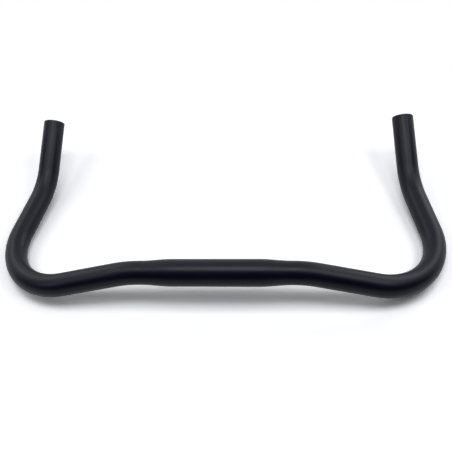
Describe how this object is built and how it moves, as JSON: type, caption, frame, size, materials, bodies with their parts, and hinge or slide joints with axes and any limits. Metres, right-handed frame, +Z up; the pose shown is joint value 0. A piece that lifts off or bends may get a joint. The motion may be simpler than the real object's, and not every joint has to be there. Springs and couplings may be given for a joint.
{
  "type": "bullhorn handlebar",
  "caption": "Bullhorn bicycle handlebar: bent aluminium tube with a thicker centre for the stem clamp, dropped shoulders, and horns that run forward and rise to open ends.",
  "frame": {"origin": "centre of the stem clamp, on the tube's axis", "axes": "+X along the clamp to the rider's right, +Y forward to the open ends of the horns, +Z up, with the bar lying as it rests on a flat table"},
  "size_m": [0.4418, 0.2169, 0.0652],
  "materials": {
    "bar_finish": "satin black anodised"
  },
  "bodies": {
    "root": {"handlebar": "bar_finish"}
  },
  "joints": []
}
